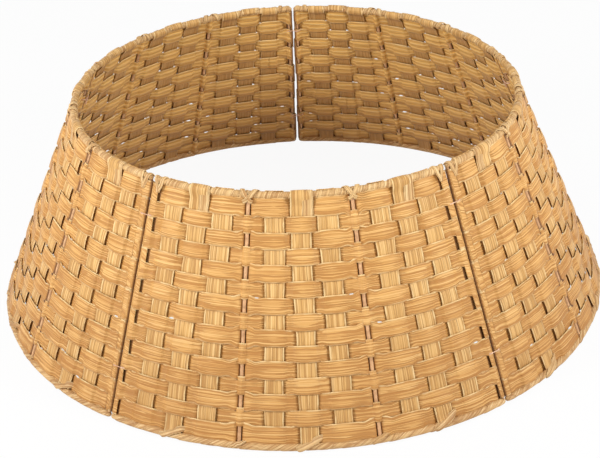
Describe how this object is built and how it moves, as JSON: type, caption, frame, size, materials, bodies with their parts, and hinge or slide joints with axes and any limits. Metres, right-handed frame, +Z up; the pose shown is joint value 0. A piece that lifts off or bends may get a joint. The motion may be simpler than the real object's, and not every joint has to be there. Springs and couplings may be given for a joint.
{
  "type": "christmas tree collar",
  "caption": "Tapered ring of woven panels on wire frames, tied edge to edge so that they hinge. It stands round the foot of a Christmas tree and hides its stand.",
  "frame": {"origin": "centre of the ring on the floor it stands on", "axes": "+Z up along the ring's axis; -Y towards the front panel's middle, +Y towards the rear seam that opens; +X to the right seen from the front"},
  "size_m": [0.7098, 0.709, 0.242],
  "materials": {
    "frame_wire": "satin",
    "stake_straw": "matte",
    "strand_straw": "satin",
    "tie_wire": "satin"
  },
  "bodies": {
    "front_panel": {"front_panel_frame": "frame_wire", "front_panel_stakes_left": "stake_straw", "front_panel_stakes_middle": "stake_straw", "front_panel_stakes_right": "stake_straw", "front_panel_strand_upper": "strand_straw", "front_panel_strand_middle": "strand_straw", "front_panel_strand_lower": "strand_straw", "left_seam_tie_upper": "tie_wire", "left_seam_tie_lower": "tie_wire", "right_seam_tie_upper": "tie_wire", "right_seam_tie_lower": "tie_wire"},
    "left_panel": {"left_panel_frame": "frame_wire", "left_panel_stakes_left": "stake_straw", "left_panel_stakes_middle": "stake_straw", "left_panel_stakes_right": "stake_straw", "left_panel_strand_upper": "strand_straw", "left_panel_strand_middle": "strand_straw", "left_panel_strand_lower": "strand_straw", "rear_left_seam_tie_upper": "tie_wire", "rear_left_seam_tie_lower": "tie_wire"},
    "right_panel": {"right_panel_frame": "frame_wire", "right_panel_stakes_left": "stake_straw", "right_panel_stakes_middle": "stake_straw", "right_panel_stakes_right": "stake_straw", "right_panel_strand_upper": "strand_straw", "right_panel_strand_middle": "strand_straw", "right_panel_strand_lower": "strand_straw", "rear_right_seam_tie_upper": "tie_wire", "rear_right_seam_tie_lower": "tie_wire"},
    "rear_left_panel": {"rear_left_panel_frame": "frame_wire", "rear_left_panel_stakes_left": "stake_straw", "rear_left_panel_stakes_middle": "stake_straw", "rear_left_panel_stakes_right": "stake_straw", "rear_left_panel_strand_upper": "strand_straw", "rear_left_panel_strand_middle": "strand_straw", "rear_left_panel_strand_lower": "strand_straw"},
    "rear_right_panel": {"rear_right_panel_frame": "frame_wire", "rear_right_panel_stakes_left": "stake_straw", "rear_right_panel_stakes_middle": "stake_straw", "rear_right_panel_stakes_right": "stake_straw", "rear_right_panel_strand_upper": "strand_straw", "rear_right_panel_strand_middle": "strand_straw", "rear_right_panel_strand_lower": "strand_straw", "rear_closure_ring_upper": "tie_wire", "rear_closure_ring_lower": "tie_wire"}
  },
  "joints": [
    {"name": "left_hinge", "type": "hinge", "parent": "front_panel", "child": "left_panel", "pos_m": [-0.20876, -0.28155, 0.0039], "axis": [0.2305, 0.318, 0.9197], "range_deg": [0, 110]},
    {"name": "right_hinge", "type": "hinge", "parent": "front_panel", "child": "right_panel", "pos_m": [0.20876, -0.28155, 0.0039], "axis": [0.2305, -0.318, -0.9197], "range_deg": [0, 110]},
    {"name": "rear_left_hinge", "type": "hinge", "parent": "left_panel", "child": "rear_left_panel", "pos_m": [-0.33253, 0.11079, 0.0039], "axis": [0.3739, -0.1201, 0.9197], "range_deg": [-100, 110]},
    {"name": "rear_right_hinge", "type": "hinge", "parent": "right_panel", "child": "rear_right_panel", "pos_m": [0.33253, 0.11079, 0.0039], "axis": [0.3739, 0.1201, -0.9197], "range_deg": [-100, 110]}
  ]
}
